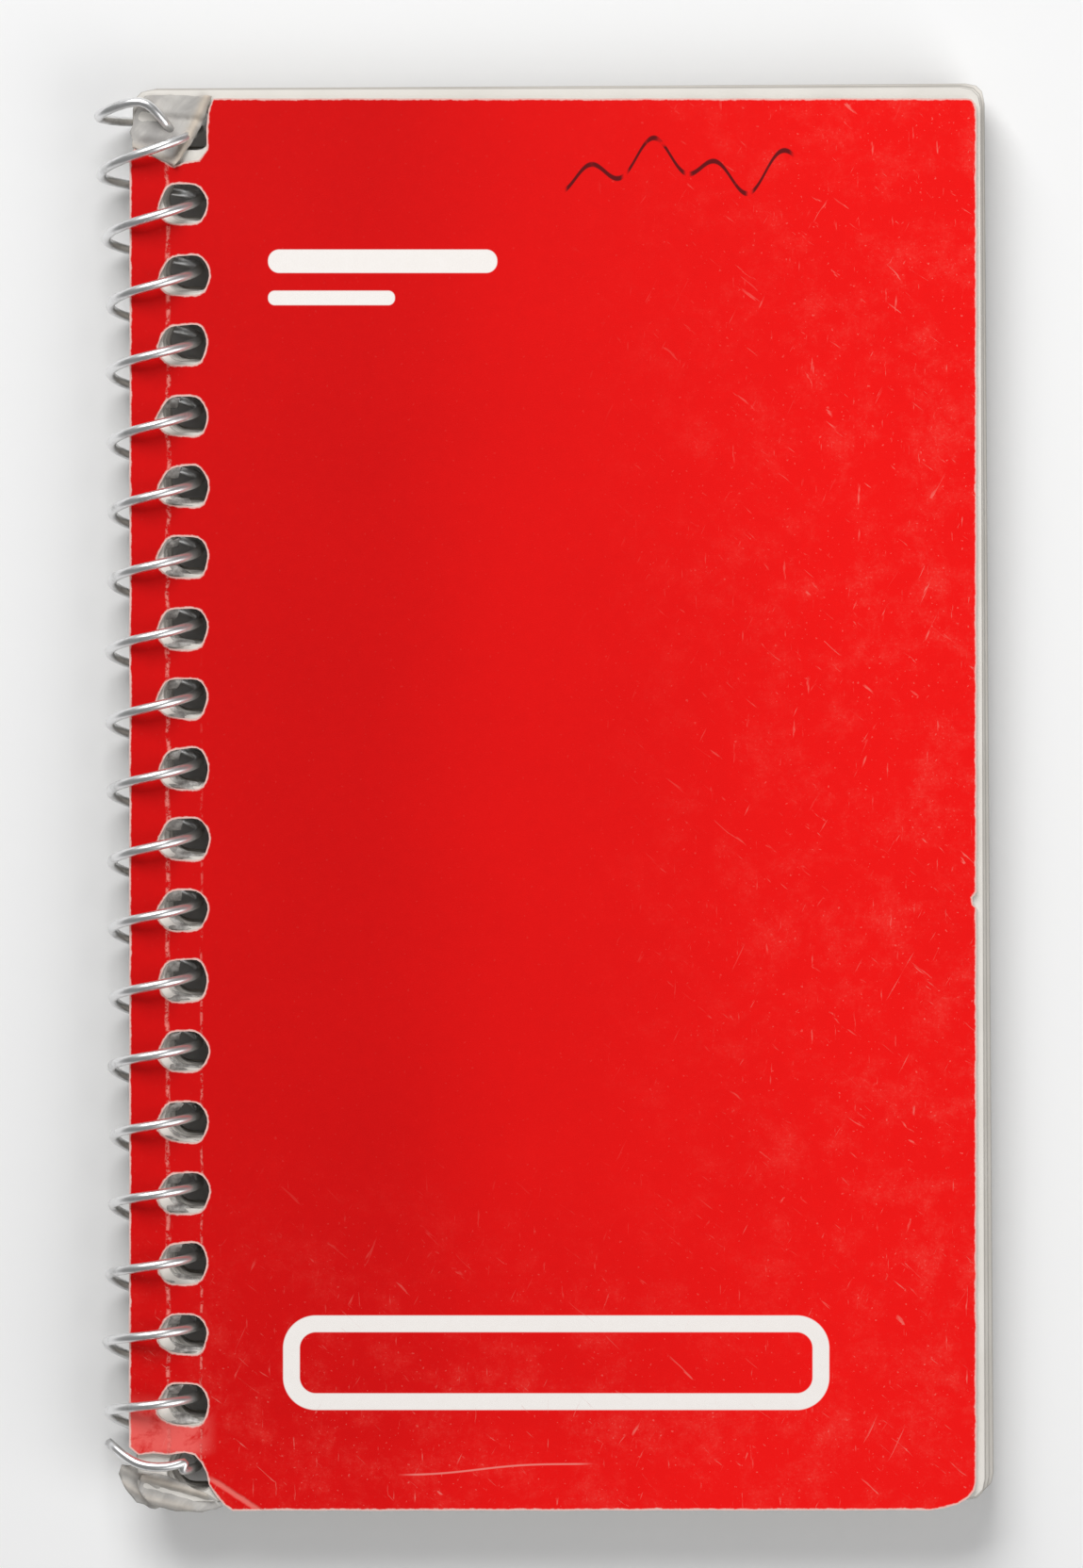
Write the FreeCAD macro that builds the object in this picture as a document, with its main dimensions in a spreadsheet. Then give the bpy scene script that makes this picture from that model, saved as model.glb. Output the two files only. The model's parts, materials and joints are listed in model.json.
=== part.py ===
import FreeCAD, Part
import Sketcher
import math
import os

# Coil-bound pocket notebook lying on its back. Millimetres, +Z up, +Y towards the head of the page,
# the coil along the left side. The origin is the centre of the footprint, on the resting surface.

doc = FreeCAD.newDocument("pocket_notebook")
V = FreeCAD.Vector

SIZES = {
    "page_wide": 76.2,  # cover and sheets, across
    "page_tall": 127.0,
    "corner_radius": 0.9,  # fore-edge corners
    "hole_pitch": 6.35,  # four to the inch
    "hole_edge": 2.3,  # bound edge of the cover to the near wall of a hole
    "hole_wide": 5.1,
    "hole_tall": 3.8,
    "hole_round": 1.2,
    "end_margin": 1.2,  # least paper left beyond the first and last holes
    "wire_diameter": 0.85,
    "coil_clear": 0.0774,  # between the wire and the nearest corner of the cover
    "coil_inset": 2.3,  # coil axis inside the cover's bound edge
    "coil_lead": 0.9,  # how far the wire passes above the middle of each hole
    "head_tail": 0.3,  # turns of wire beyond the first and last holes
    "foot_tail": 0.45,
    "front_thick": 0.38,
    "back_thick": 0.7,
    "sheet_thick": 0.08,
    "sheets_per_pack": 8,
    "pack_count": 6,
    "layer_gap": 0.05,  # clearance between pieces that move apart
    "sheet_shift_x": 0.6,  # sheets pushed out towards the fore edge
    "pack_stagger": 0.08,  # each pack a little further out than the one above
    "sheet_shift_y": 0.9,
    "crease_wall": 0.6,  # paper left between the outermost hole wall and the bend
    "crease_gap": 0.1,
}

sheet = doc.addObject("Spreadsheet::Sheet", "sizes")


def fill_sheet():
    """The driving sizes, and under them the few that follow from them."""
    worked_out = {
        "wire_radius": "=wire_diameter / 2",
        "pack_thick": "=sheets_per_pack * sheet_thick",
        "pages_thick": "=pack_count * (pack_thick + layer_gap) + layer_gap",
        "stack_thick": "=back_thick + pages_thick + front_thick",
        "coil_radius": "=sqrt(coil_inset^2 + (stack_thick / 2)^2) + wire_radius + coil_clear",
        "coil_outer": "=coil_radius + wire_radius",
        "stack_base": "=coil_outer - stack_thick / 2",
        "last_shift": "=sheet_shift_x + pack_count * pack_stagger",
        "edge_wide": "=hole_edge + hole_wide + last_shift + crease_wall",
        "left_side": "=coil_inset - coil_outer",
        "origin_x": "=(left_side + page_wide + last_shift) / 2",
        "origin_y": "=sheet_shift_y / 2",
        "hole_count": "=floor((page_tall - hole_tall - 2 * end_margin) / hole_pitch) + 1",
        "hole_span": "=(hole_count - 1) * hole_pitch",
        "coil_length": "=hole_span + (head_tail + foot_tail) * hole_pitch",
        "coil_head": "=hole_span / 2 + coil_lead + head_tail * hole_pitch",
    }
    cells = {**SIZES, **worked_out}
    for row, (name, value) in enumerate(cells.items(), start=1):
        sheet.set(f"B{row}", str(value))
        sheet.setAlias(f"B{row}", name)
    doc.recompute()


def size(name):
    return float(getattr(sheet, name))


def count(name):
    return int(round(size(name)))


# sketches are first drawn at these sizes, and their constraints then set the real ones
ROUGH_LEFT, ROUGH_WIDE, ROUGH_TALL, ROUGH_RADIUS = 1.0, 20.0, 10.0, 1.0
QUARTER = math.pi / 2


def plane_of(body, role):
    for feature in body.Origin.OriginFeatures:
        if feature.Role == role:
            return feature


def new_body(name):
    body = doc.addObject("PartDesign::Body", name)
    body.Label = name
    return body


def new_sketch(body, name):
    sketch = body.newObject("Sketcher::SketchObject", name)
    sketch.AttachmentSupport = [(plane_of(body, "XY_Plane"), "")]
    sketch.MapMode = "FlatFace"
    return sketch


def place(body, x, y, z):
    """Puts a body's own corner at x, y, z, measured from the cover's bound edge, each an expression."""
    body.setExpression("Placement.Base.x", f"{x} - sizes.origin_x")
    body.setExpression("Placement.Base.y", f"{y} - sizes.origin_y")
    body.setExpression("Placement.Base.z", z)


def rounded_rectangle(sketch, wide, tall, radius, left, bottom):
    """Four sides and four corner arcs, bound to the expressions given. Left and bottom set its place."""
    x0, y0, r = ROUGH_LEFT, ROUGH_LEFT, ROUGH_RADIUS
    x1, y1 = x0 + ROUGH_WIDE, y0 + ROUGH_TALL
    corners = [(x0, y0, 2), (x1, y0, 3), (x1, y1, 0), (x0, y1, 1)]
    sides = [
        (V(x0 + r, y0, 0), V(x1 - r, y0, 0)),
        (V(x1, y0 + r, 0), V(x1, y1 - r, 0)),
        (V(x1 - r, y1, 0), V(x0 + r, y1, 0)),
        (V(x0, y1 - r, 0), V(x0, y0 + r, 0)),
    ]
    for start, end in sides:
        sketch.addGeometry(Part.LineSegment(start, end), False)
    for x, y, quarters in corners:
        cx = x + r if x == x0 else x - r
        cy = y + r if y == y0 else y - r
        circle = Part.Circle(V(cx, cy, 0), V(0, 0, 1), r)
        first = quarters * QUARTER
        sketch.addGeometry(Part.ArcOfCircle(circle, first, first + QUARTER), False)
    for side in range(4):
        kind = "Horizontal" if side % 2 == 0 else "Vertical"
        sketch.addConstraint(Sketcher.Constraint(kind, side))
        next_corner = 4 + (side + 1) % 4
        sketch.addConstraint(Sketcher.Constraint("Tangent", 4 + side, 2, side, 1))
        sketch.addConstraint(Sketcher.Constraint("Tangent", side, 2, next_corner, 1))
    for corner in (5, 6, 7):
        sketch.addConstraint(Sketcher.Constraint("Equal", 4, corner))
    named = [
        ("radius", Sketcher.Constraint("Radius", 4, r), radius),
        ("wide", Sketcher.Constraint("DistanceX", 3, 1, 1, 1, ROUGH_WIDE), wide),
        ("tall", Sketcher.Constraint("DistanceY", 0, 1, 2, 1, ROUGH_TALL), tall),
        ("left", Sketcher.Constraint("DistanceX", -1, 1, 3, 1, x0), left),
        ("bottom", Sketcher.Constraint("DistanceY", -1, 1, 0, 1, y0), bottom),
    ]
    for name, constraint, expression in named:
        index = sketch.addConstraint(constraint)
        sketch.renameConstraint(index, name)
        sketch.setExpression(f"Constraints.{name}", expression)


def rectangle(sketch, wide, tall):
    """A plain rectangle with its corner on the sketch's origin."""
    points = [V(0, 0, 0), V(ROUGH_WIDE, 0, 0), V(ROUGH_WIDE, ROUGH_TALL, 0), V(0, ROUGH_TALL, 0)]
    for index, start in enumerate(points):
        end = points[(index + 1) % 4]
        sketch.addGeometry(Part.LineSegment(start, end), False)
    for side in range(4):
        sketch.addConstraint(Sketcher.Constraint("Coincident", side, 2, (side + 1) % 4, 1))
        kind = "Horizontal" if side % 2 == 0 else "Vertical"
        sketch.addConstraint(Sketcher.Constraint(kind, side))
    sketch.addConstraint(Sketcher.Constraint("Coincident", 0, 1, -1, 1))
    for name, side, kind, value, expression in (
        ("wide", 0, "DistanceX", ROUGH_WIDE, wide),
        ("tall", 1, "DistanceY", ROUGH_TALL, tall),
    ):
        index = sketch.addConstraint(Sketcher.Constraint(kind, side, 1, side, 2, value))
        sketch.renameConstraint(index, name)
        sketch.setExpression(f"Constraints.{name}", expression)


def pad(body, sketch, height):
    feature = body.newObject("PartDesign::Pad", "pad")
    feature.Profile = sketch
    feature.setExpression("Length", height)
    sketch.Visibility = False
    doc.recompute()
    return feature


def round_fore_corners(body, base):
    """Rounds the two upright edges furthest from the bound side."""
    middle = base.Shape.BoundBox.Center.x
    names = []
    for index, edge in enumerate(base.Shape.Edges, start=1):
        box = edge.BoundBox
        if box.ZLength > box.YLength and box.XMin > middle:
            names.append(f"Edge{index}")
    fillet = body.newObject("PartDesign::Fillet", "fore_corners")
    fillet.Base = (base, names)
    fillet.setExpression("Radius", "sizes.corner_radius")
    doc.recompute()


def punch_holes(body, first_x):
    """The row of rounded square holes, from the foot of the page to its head."""
    before = body.Shape.Volume
    sketch = new_sketch(body, "hole_outline")
    margin = "(sizes.page_tall - sizes.hole_span - sizes.hole_tall) / 2"
    rounded_rectangle(
        sketch, "sizes.hole_wide", "sizes.hole_tall", "sizes.hole_round", first_x, margin
    )
    doc.recompute()
    pocket = body.newObject("PartDesign::Pocket", "hole")
    pocket.Profile = sketch
    pocket.Type = 1
    pocket.Midplane = True
    doc.recompute()
    pattern = body.newObject("PartDesign::LinearPattern", "hole_row")
    pattern.Originals = [pocket]
    pattern.Direction = (plane_of(body, "Y_Axis"), [""])
    pattern.setExpression("Length", "sizes.hole_span")
    pattern.setExpression("Occurrences", "sizes.hole_count")
    body.Tip = pattern
    sketch.Visibility = False
    doc.recompute()
    one = size("hole_wide") * size("hole_tall") - (4 - math.pi) * size("hole_round") ** 2
    height = body.Shape.BoundBox.ZLength
    expected = before - one * height * count("hole_count")
    if abs(body.Shape.Volume - expected) > 0.001 * before:
        raise RuntimeError(f"{body.Label}: the holes cut {before - body.Shape.Volume:.2f} mm3")


def plate(name, wide, height, x, y, z, holes_at=None, fore=False):
    body = new_body(name)
    outline = new_sketch(body, "outline")
    rectangle(outline, wide, "sizes.page_tall")
    base = pad(body, outline, height)
    if fore:
        round_fore_corners(body, base)
    if holes_at:
        punch_holes(body, holes_at)
    place(body, x, y, z)
    return body


FOOT = "-sizes.page_tall / 2"  # the cover's lower edge, with its middle at zero
SHEET_FOOT = "sizes.sheet_shift_y - sizes.page_tall / 2"


def back_cover():
    """Stiff board, punched like the sheets, pushed as far out as the last pack."""
    x, z = "sizes.last_shift", "sizes.stack_base"
    return plate(
        "back_cover", "sizes.page_wide", "sizes.back_thick", x, SHEET_FOOT, z,
        holes_at="sizes.hole_edge", fore=True,
    )


def front_cover():
    """One card, as the punched edge that the coil holds and the panel that bends away beside it."""
    z = "sizes.stack_base + sizes.back_thick + sizes.pages_thick"
    edge = plate(
        "front_cover_bound_edge", "sizes.edge_wide", "sizes.front_thick", "0", FOOT, z,
        holes_at="sizes.hole_edge",
    )
    start = "sizes.edge_wide + sizes.crease_gap"
    panel = plate(
        "front_cover_panel", f"sizes.page_wide - ({start})", "sizes.front_thick",
        start, FOOT, z, fore=True,
    )
    return [edge, panel]


def pack_height(number):
    """The underside of a pack, packs counted from the front cover down."""
    below = f"(sizes.pack_count - {number})"
    step = "(sizes.pack_thick + sizes.layer_gap)"
    return f"sizes.stack_base + sizes.back_thick + sizes.layer_gap + {below} * {step}"


def sheets_of_pack(number):
    """A pack's sheets from the bend outwards, as separate leaves lying face to face."""
    shift = size("sheet_shift_x") + number * size("pack_stagger")
    start = size("edge_wide") + size("crease_gap")
    far, tall = size("page_wide") + shift, size("page_tall")
    thick, radius = size("sheet_thick"), size("corner_radius")
    leaves = []
    for leaf in range(count("sheets_per_pack")):
        box = Part.makeBox(far - start, tall, thick, V(start, 0, leaf * thick))
        corners = [e for e in box.Edges if e.BoundBox.ZLength > thick / 2 and e.BoundBox.XMin > far / 2]
        leaves.append(box.makeFillet(radius, corners))
    node = doc.addObject("Part::Feature", f"sheets_{number}")
    node.Label = f"sheets_{number}"
    node.Shape = Part.makeCompound(leaves)
    place(node, "0", SHEET_FOOT, pack_height(number))
    return node


def bound_edge_of_pack(number):
    """The punched edges of a pack's sheets, pressed together inside the coil."""
    shift = f"(sizes.sheet_shift_x + {number} * sizes.pack_stagger)"
    return plate(
        f"sheet_edges_{number}", f"sizes.edge_wide - {shift}", "sizes.pack_thick",
        shift, SHEET_FOOT, pack_height(number), holes_at="sizes.hole_edge",
    )


def coil():
    """A right-handed wire coil along Y, one turn to a hole."""
    helix = doc.addObject("Part::Helix", "coil_path")
    helix.setExpression("Pitch", "sizes.hole_pitch")
    helix.setExpression("Height", "sizes.coil_length")
    helix.setExpression("Radius", "sizes.coil_radius")
    section = doc.addObject("Part::Circle", "wire_section")
    section.setExpression("Radius", "sizes.wire_radius")
    section.setExpression("Placement.Base.x", "sizes.coil_radius")
    section.Placement.Rotation = FreeCAD.Rotation(V(-1, 0, 0), 90)
    climb = "sizes.hole_pitch / (2 * pi * sizes.coil_radius)"
    section.setExpression("Placement.Rotation.Angle", f"90 deg - atan({climb})")
    doc.recompute()
    wire = doc.addObject("Part::Sweep", "coil")
    wire.Label = "coil"
    wire.Sections = [section]
    wire.Spine = (helix, ["Edge1"])
    wire.Solid = True
    wire.Frenet = True
    # the path climbs along its own Z: laid down, it climbs towards the foot of the page, and it is
    # turned about that line so that it meets each hole on the side away from the bound edge
    laid_down = FreeCAD.Rotation(V(1, 0, 0), V(0, 0, 1), V(0, -1, 0), "XZY")
    back_turn = FreeCAD.Rotation(V(0, 1, 0), 360 * size("head_tail"))
    wire.Placement = FreeCAD.Placement(V(0, 0, 0), back_turn * laid_down)
    place(wire, "sizes.coil_inset", "sizes.coil_head", "sizes.coil_outer")
    doc.recompute()
    return wire


def check_and_write(nodes):
    doc.recompute()
    for item in doc.Objects:
        if "Invalid" in item.State or "Error" in item.State:
            raise RuntimeError(f"{item.Label} is {item.State}")
    os.makedirs("parts", exist_ok=True)
    for node in nodes:
        if node.Shape.isNull() or not node.Shape.isValid():
            raise RuntimeError(f"{node.Label} has no sound shape")
        node.Shape.exportStep(os.path.join("parts", f"{node.Label}.step"))
        box = node.Shape.BoundBox
        print(node.Label, round(node.Shape.Volume, 2), len(node.Shape.Solids), box)


fill_sheet()
nodes = [back_cover(), *front_cover(), coil()]
for number in range(1, count("pack_count") + 1):
    nodes.append(sheets_of_pack(number))
    nodes.append(bound_edge_of_pack(number))
check_and_write(nodes)
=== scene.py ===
import json
import math
import random

import bmesh
import bpy
from bpy.props import FloatProperty, FloatVectorProperty, IntProperty, PointerProperty
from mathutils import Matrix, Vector
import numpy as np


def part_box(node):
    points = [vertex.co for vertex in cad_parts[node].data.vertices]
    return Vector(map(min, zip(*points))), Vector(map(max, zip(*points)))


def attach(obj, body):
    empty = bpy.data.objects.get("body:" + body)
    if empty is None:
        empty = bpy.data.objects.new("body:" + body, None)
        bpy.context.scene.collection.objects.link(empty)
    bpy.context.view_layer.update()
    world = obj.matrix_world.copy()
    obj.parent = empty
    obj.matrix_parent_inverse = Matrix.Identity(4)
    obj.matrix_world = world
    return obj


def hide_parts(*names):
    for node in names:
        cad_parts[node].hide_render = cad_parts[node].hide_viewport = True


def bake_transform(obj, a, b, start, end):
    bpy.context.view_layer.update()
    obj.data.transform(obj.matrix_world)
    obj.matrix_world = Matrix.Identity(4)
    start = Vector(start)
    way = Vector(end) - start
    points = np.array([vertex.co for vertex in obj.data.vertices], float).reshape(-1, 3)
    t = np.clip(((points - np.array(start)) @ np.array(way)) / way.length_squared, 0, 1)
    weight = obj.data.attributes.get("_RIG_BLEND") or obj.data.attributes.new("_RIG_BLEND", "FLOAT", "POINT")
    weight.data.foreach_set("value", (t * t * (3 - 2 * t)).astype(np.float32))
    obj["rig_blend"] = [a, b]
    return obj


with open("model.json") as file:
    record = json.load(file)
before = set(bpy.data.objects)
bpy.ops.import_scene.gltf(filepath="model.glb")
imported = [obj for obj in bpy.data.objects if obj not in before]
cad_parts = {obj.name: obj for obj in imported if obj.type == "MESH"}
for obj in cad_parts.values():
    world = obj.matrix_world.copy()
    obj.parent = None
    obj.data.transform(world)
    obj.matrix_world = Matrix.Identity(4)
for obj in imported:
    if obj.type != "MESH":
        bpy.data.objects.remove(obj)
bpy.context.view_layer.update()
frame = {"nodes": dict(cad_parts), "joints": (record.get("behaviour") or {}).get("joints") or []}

bl_info = {
    "name": "Coil-Bound Pocket Notebook",
    "version": (1, 0, 0),
    "blender": (4, 5, 0),
    "location": "View3D > Sidebar > Notebook",
    "description": "Dresses a packed coil-bound notebook: card cover, leaves, board and wire",
    "category": "Object",
}

MM = 0.001
PACKS = sum(name.startswith("sheets_") for name in frame["nodes"])
EDGE_LOW, EDGE_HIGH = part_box("front_cover_bound_edge")
PANEL_LOW, PANEL_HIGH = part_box("front_cover_panel")
CREASE = Vector(next(j for j in frame["joints"] if j["name"] == "front_cover_turn")["pos_m"])
COVER_TALL = (PANEL_HIGH[1] - PANEL_LOW[1]) / MM
TURN_CENTRE = Vector((0, 63.5, 0))  # half way up the bound edge, in a sheet's own millimetres
UV_SCALE = 100.0  # a sheet's own map: millimetres from its bound foot corner, over this


# ---------------------------------------------------------------- properties


class NotebookSizes(bpy.types.PropertyGroup):
    hole_pitch: FloatProperty(
        name="Hole pitch", description="From one hole to the next, mm", default=6.35
    )
    hole_count: IntProperty(name="Holes", description="Holes down the bound edge", default=20)
    hole_centre: FloatProperty(
        name="Hole centre", description="Bound edge to the middle of a hole, mm", default=4.85
    )
    bend_width: FloatProperty(name="Bend", description="Width of card that bends, mm", default=2.4)
    leaves: IntProperty(name="Leaves", description="Leaves in one pack", default=8)
    leaf_thick: FloatProperty(name="Leaf", description="Thickness of one leaf, mm", default=0.072)
    skew: FloatProperty(name="Skew", description="Turn of the lowest leaves, degrees", default=0.42)
    seed: IntProperty(name="Seed", description="Seed of the wear and unevenness", default=11)


class NotebookFinish(bpy.types.PropertyGroup):
    red: FloatVectorProperty(
        name="Card red", description="Coated face", subtype="COLOR", size=3,
        default=(0.64, 0.0026, 0.003),
    )
    bright_red: FloatVectorProperty(
        name="Bright red", description="Face where it catches light", subtype="COLOR", size=3,
        default=(0.93, 0.006, 0.005),
    )
    paper: FloatVectorProperty(
        name="Paper", description="Leaf stock", subtype="COLOR", size=3, default=(0.84, 0.81, 0.76)
    )
    board: FloatVectorProperty(
        name="Board", description="Grey back board", subtype="COLOR", size=3,
        default=(0.34, 0.31, 0.27),
    )
    steel: FloatVectorProperty(
        name="Steel", description="Coil wire", subtype="COLOR", size=3, default=(0.84, 0.84, 0.84)
    )


def sizes():
    return bpy.context.scene.notebook_sizes


def finish():
    return bpy.context.scene.notebook_finish


# ---------------------------------------------------------------- shader maths


class Value:
    """A socket that takes part in Python arithmetic, each step adding a Math node."""

    def __init__(self, shader, socket):
        self.shader, self.socket = shader, socket

    def math(self, operation, *others):
        values = dict(enumerate((self, *others)))
        node = self.shader.add("ShaderNodeMath", {"operation": operation}, values)
        return Value(self.shader, node.outputs[0])

    def __add__(self, other):
        return self.math("ADD", other)

    def __sub__(self, other):
        return self.math("SUBTRACT", other)

    def __mul__(self, other):
        return self.math("MULTIPLY", other)

    def __rsub__(self, other):
        return (self * -1.0) + other

    __radd__, __rmul__ = __add__, __mul__

    def size(self):
        return self.math("ABSOLUTE")

    def wrap(self, period):
        return self.math("FLOORED_MODULO", period)

    def larger(self, other):
        return self.math("MAXIMUM", other)

    def smaller(self, other):
        return self.math("MINIMUM", other)

    def ramp(self, low, high):
        """0 at low and under, 1 at high and over, or the other way round where high is less."""
        flip = high < low
        ends = {"From Min": min(low, high), "From Max": max(low, high)}
        node = self.shader.add(
            "ShaderNodeMapRange", {"interpolation_type": "SMOOTHSTEP"}, {"Value": self, **ends}
        )
        value = Value(self.shader, node.outputs[0])
        return 1.0 - value if flip else value

    def band(self, centre, half, soft=0.06):
        """1 within half of centre, falling to 0 over soft."""
        return (self - centre).size().ramp(half + soft, half - soft)


class Shader:
    """A material under construction."""

    def __init__(self, name, **constants):
        self.material = bpy.data.materials.new(name)
        self.material.use_nodes = True
        self.tree = self.material.node_tree
        self.surface = self.tree.nodes["Principled BSDF"]
        for socket, value in constants.items():
            self.surface.inputs[socket.replace("_", " ")].default_value = value

    def add(self, kind, settings=None, inputs=None):
        node = self.tree.nodes.new(kind)
        for name, value in (settings or {}).items():
            setattr(node, name, value)
        for name, value in (inputs or {}).items():
            self.put(node.inputs[name], value)
        return node

    def put(self, socket, value):
        if isinstance(value, Value):
            value = value.socket
        if isinstance(value, bpy.types.NodeSocket):
            self.tree.links.new(value, socket)
        else:
            socket.default_value = value

    def sheet_place(self):
        """Millimetres across from the bound edge and up from the foot, and the flat map itself."""
        uv = self.add("ShaderNodeUVMap", {"uv_map": "flat"}).outputs[0]
        parts = self.add("ShaderNodeSeparateXYZ", None, {0: uv})
        across, up = (Value(self, parts.outputs[axis]) * UV_SCALE for axis in range(2))
        return across, up, uv

    def stretched(self, vector, scale):
        node = self.add("ShaderNodeMapping", None, {"Vector": vector, "Scale": scale})
        return node.outputs[0]

    def turned(self, vector, scale, angle):
        """Turned about the sheet's own normal, then stretched."""
        round_normal = {"Vector": vector, "Rotation": (0.0, 0.0, angle)}
        node = self.add("ShaderNodeMapping", None, round_normal)
        return self.stretched(node.outputs[0], scale)

    def edge_wear_and_shade(self):
        """1 along a sheet's torn or rubbed edges, falling to 0 a little way in; the leaves darken along it
        as painted shade between their layers.
        """
        node = self.add("ShaderNodeAttribute", {"attribute_name": "edge_wear_and_shade"})
        return Value(self, node.outputs["Fac"])

    def noise(self, vector, scale, detail=4.0, rough=0.55, distortion=0.0):
        inputs = {
            "Vector": vector, "Scale": scale, "Detail": detail, "Roughness": rough,
            "Distortion": distortion,
        }
        return Value(self, self.add("ShaderNodeTexNoise", None, inputs).outputs[0])

    def object_place(self):
        return self.add("ShaderNodeTexCoord").outputs["Object"]

    def mix(self, amount, first, second):
        node = self.add("ShaderNodeMix", {"data_type": "RGBA"})
        self.put(node.inputs[0], amount)
        self.put(node.inputs[6], (*first, 1.0) if isinstance(first, (tuple, list)) else first)
        self.put(node.inputs[7], (*second, 1.0) if isinstance(second, (tuple, list)) else second)
        return node.outputs[2]

    def bump(self, height, distance, strength=1.0):
        inputs = {"Height": height, "Distance": distance, "Strength": strength}
        return self.add("ShaderNodeBump", None, inputs).outputs[0]

    def finish(self, color, roughness, normal=None, **others):
        self.put(self.surface.inputs["Base Color"], color)
        self.put(self.surface.inputs["Roughness"], roughness)
        if normal is not None:
            self.put(self.surface.inputs["Normal"], normal)
        for name, value in others.items():
            self.put(self.surface.inputs[name.replace("_", " ")], value)
        return self.material


# ---------------------------------------------------------------- materials


def box_line(x, y, left, foot, wide, tall, corner):
    """Distance outwards from the line of a rounded box, in millimetres."""
    across = ((x - (left + wide / 2)).size() - (wide / 2 - corner)).larger(0.0)
    along = ((y - (foot + tall / 2)).size() - (tall / 2 - corner)).larger(0.0)
    return (across * across + along * along).math("SQRT") - corner


def cover_print(x, y):
    """White print: a bar over a shorter one near the head, and an empty title box near the foot."""
    edge, half_stroke = 0.06, 0.75
    bar = box_line(x, y, 12.5, 111.3, 20.6, 2.1, 1.0).ramp(edge, -edge)
    short_bar = box_line(x, y, 12.5, 108.4, 11.4, 1.3, 0.6).ramp(edge, -edge)
    title_box = box_line(x, y, 14.6, 9.8, 47.6, 7.0, 2.2).size()
    title_box = title_box.ramp(half_stroke + edge, half_stroke - edge)
    return bar.larger(short_bar).larger(title_box)


def pen_stroke(shader, x, y, uv):
    """Quick pen marks that spell nothing: a wavy line broken where the pen lifted."""
    wave = (x * 1.1).math("SINE") * 1.25 + (x * 0.43).math("SINE") * 1.3
    line = (y - (wave + 120.9)).size()
    pressure = shader.noise(uv, 45.0, 3.0)
    lifts = ((x - 39.0).wrap(5.6) - 2.8).size().ramp(2.75, 2.35)
    return line.ramp(0.3, 0.15) * x.band(49.4, 10.2, 0.3) * lifts * pressure.ramp(0.2, 0.42) * 0.88


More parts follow.
